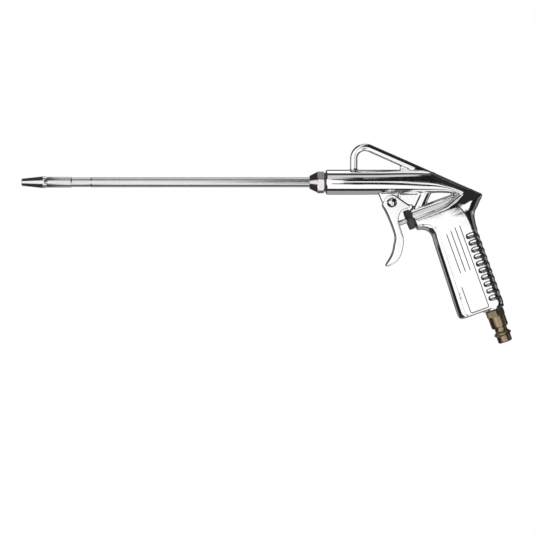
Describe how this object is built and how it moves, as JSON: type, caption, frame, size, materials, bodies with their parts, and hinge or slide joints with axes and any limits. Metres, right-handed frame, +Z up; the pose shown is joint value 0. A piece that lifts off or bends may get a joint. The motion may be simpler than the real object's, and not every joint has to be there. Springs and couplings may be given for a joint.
{
  "type": "pneumatic air duster",
  "caption": "Pistol-grip air duster with a long straight nozzle, a lever trigger on a pivot pin, a sprung push valve, a hanging loop and a quick-coupling plug at the foot of the grip.",
  "frame": {"origin": "centre of the nozzle's mouth", "axes": "+X along the nozzle and barrel towards the tail, +Z up towards the hanging loop, +Y across the gun; the grip hangs down and back at 20 degrees"},
  "size_m": [0.3922, 0.0216, 0.1602],
  "materials": {
    "cast_aluminium": "polished die casting with rounded edges",
    "satin_steel": "satin drawn tube",
    "bright_steel": "ground and polished",
    "dark_steel": "dark plated",
    "brass": "turned",
    "bronze_plate": "dark bronze-toned plating",
    "black_rubber": "matt",
    "grey_fibre": "pressed fibre washer"
  },
  "bodies": {
    "gun": {"body_casting": "cast_aluminium", "nozzle_tube": "satin_steel", "nozzle_tip": "satin_steel", "nozzle_collar": "brass", "nozzle_nut": "dark_steel", "nozzle_washer": "grey_fibre", "nozzle_o_ring": "black_rubber", "gland_nut": "dark_steel", "gland_washer": "grey_fibre", "stem_o_ring": "black_rubber", "seat_sleeve": "brass", "sleeve_o_ring": "black_rubber", "valve_spring": "bright_steel", "inlet_plug": "bronze_plate", "inlet_washer": "grey_fibre", "trigger_pin": "bright_steel", "pin_clip": "dark_steel"},
    "stem": {"valve_stem": "bright_steel", "poppet_seal": "black_rubber", "poppet": "brass", "poppet_nut": "dark_steel"},
    "trigger": {"trigger": "cast_aluminium"}
  },
  "joints": [
    {"name": "trigger_hinge", "type": "hinge", "parent": "gun", "child": "trigger", "pos_m": [0.2956, 0, -0.0163], "axis": [0, -1, 0], "range_deg": [0, 10.2]},
    {"name": "stem_slide", "type": "slide", "parent": "gun", "child": "stem", "axis": [0.9397, 0, 0.342], "range_m": [0, 0.003], "stiffness_N_per_m": 20, "springref_m": -0.0085, "deforming": ["valve_spring"]}
  ],
  "couplings": [
    {"joint": "trigger_hinge", "follows": "stem_slide", "rad_per_m": 58.15}
  ]
}
